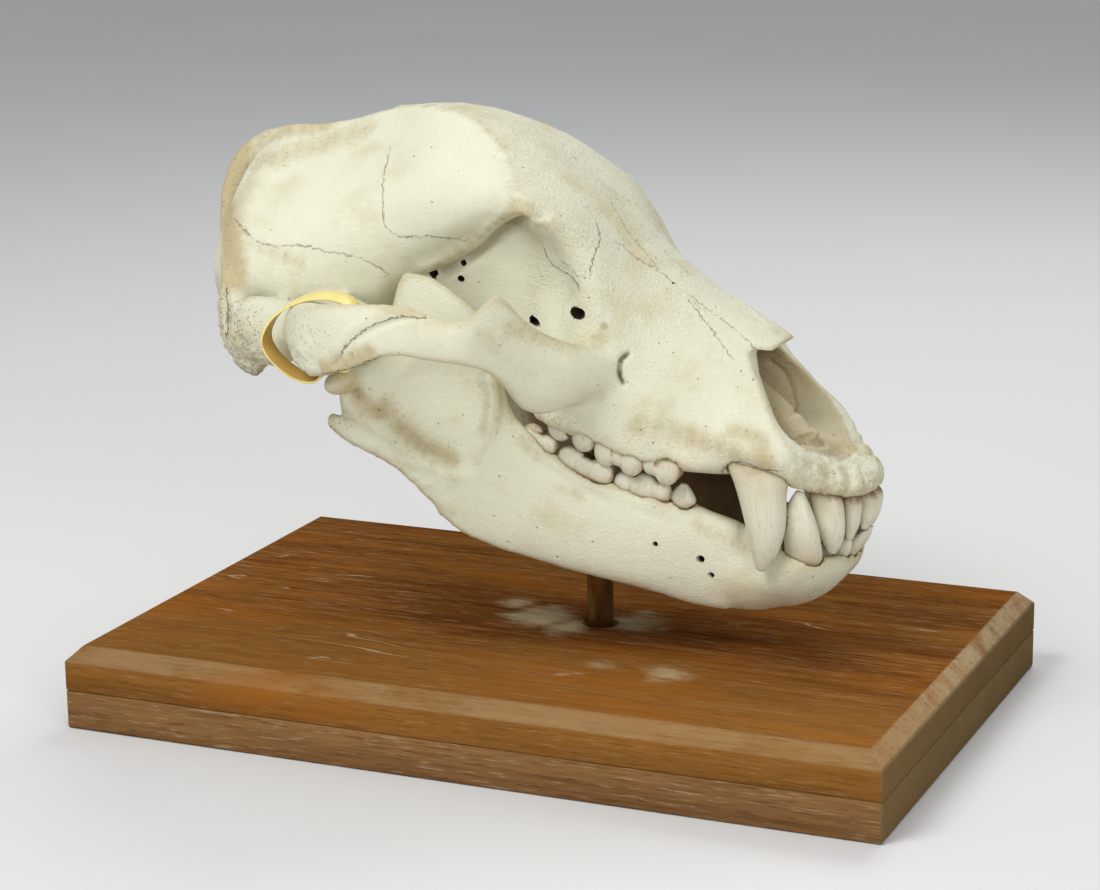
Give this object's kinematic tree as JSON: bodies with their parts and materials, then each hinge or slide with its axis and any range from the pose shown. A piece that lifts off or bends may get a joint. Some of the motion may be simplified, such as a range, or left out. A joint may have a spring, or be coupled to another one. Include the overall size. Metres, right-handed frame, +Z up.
{
  "type": "bear skull display specimen",
  "caption": "Large bear skull, jaw closed, carried nose-down by a brass post on a chamfered wooden display base, with a plastic tag band round one cheek bone.",
  "frame": {"origin": "centre of the base's underside", "axes": "+X towards the nose along the base's long side, +Y to the animal's left, +Z up"},
  "size_m": [0.4064, 0.256, 0.2899],
  "materials": {
    "bone": "dry cream bone, matt to satin, tan stains at the edges and rough porous patches",
    "enamel": "satin ivory tooth with fine lengthwise cracks and brown stain at the gum",
    "upper_wood": "worn satin varnish over red-brown wood, pale scratched chamfers",
    "lower_wood": "worn satin varnish over red-brown wood",
    "post_brass": "dark aged brass with brown patina",
    "band_plastic": "yellow flexible plastic strip"
  },
  "bodies": {
    "root": {"base_lower_board": "lower_wood", "base_upper_board": "upper_wood", "brass_post": "post_brass", "cranium": "bone", "mandible": "bone", "number_band": "band_plastic", "upper_incisor_1_left": "enamel", "upper_incisor_1_right": "enamel", "upper_incisor_2_left": "enamel", "upper_incisor_2_right": "enamel", "upper_incisor_3_left": "enamel", "upper_incisor_3_right": "enamel", "upper_canine_left": "enamel", "upper_canine_right": "enamel", "upper_premolar_4_left": "enamel", "upper_premolar_4_right": "enamel", "upper_molar_1_left": "enamel", "upper_molar_1_right": "enamel", "upper_molar_2_left": "enamel", "upper_molar_2_right": "enamel", "lower_incisor_1_left": "enamel", "lower_incisor_1_right": "enamel", "lower_incisor_2_left": "enamel", "lower_incisor_2_right": "enamel", "lower_incisor_3_left": "enamel", "lower_incisor_3_right": "enamel", "lower_canine_left": "enamel", "lower_canine_right": "enamel", "lower_premolar_4_left": "enamel", "lower_premolar_4_right": "enamel", "lower_molar_1_left": "enamel", "lower_molar_1_right": "enamel", "lower_molar_2_left": "enamel", "lower_molar_2_right": "enamel", "lower_molar_3_left": "enamel", "lower_molar_3_right": "enamel"}
  },
  "joints": []
}
